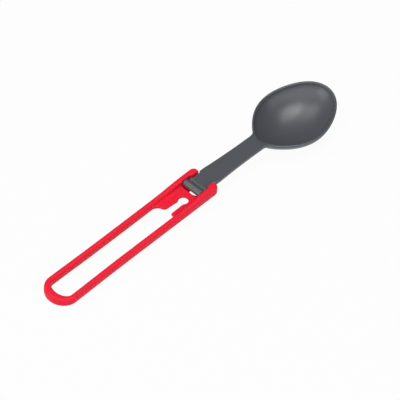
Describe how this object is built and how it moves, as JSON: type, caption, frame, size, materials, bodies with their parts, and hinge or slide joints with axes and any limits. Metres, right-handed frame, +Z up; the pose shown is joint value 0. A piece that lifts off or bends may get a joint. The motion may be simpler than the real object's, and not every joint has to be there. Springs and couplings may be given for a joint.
{
  "type": "folding spoon",
  "caption": "Camp spoon that folds in half: an egg-shaped bowl on a flat tapered neck, hinged between the ears of a slim looped handle.",
  "frame": {"origin": "at the middle of the open spoon's length and width, level with the lowest point of the bowl's belly", "axes": "+X along the spoon from the handle's loop to the bowl's tip, +Y across it, +Z up out of the bowl"},
  "size_m": [0.1834, 0.036, 0.0148],
  "materials": {
    "red_nylon": "satin, moulded",
    "gray_nylon": "satin, moulded",
    "pin_steel": "plain"
  },
  "bodies": {
    "handle": {"handle": "red_nylon", "hinge_pin": "pin_steel"},
    "head": {"spoon_head": "gray_nylon"}
  },
  "joints": [
    {"name": "fold", "type": "hinge", "parent": "handle", "child": "head", "pos_m": [0.00185, 0, 0.01277], "axis": [0, -1, 0], "range_deg": [0, 179]}
  ]
}
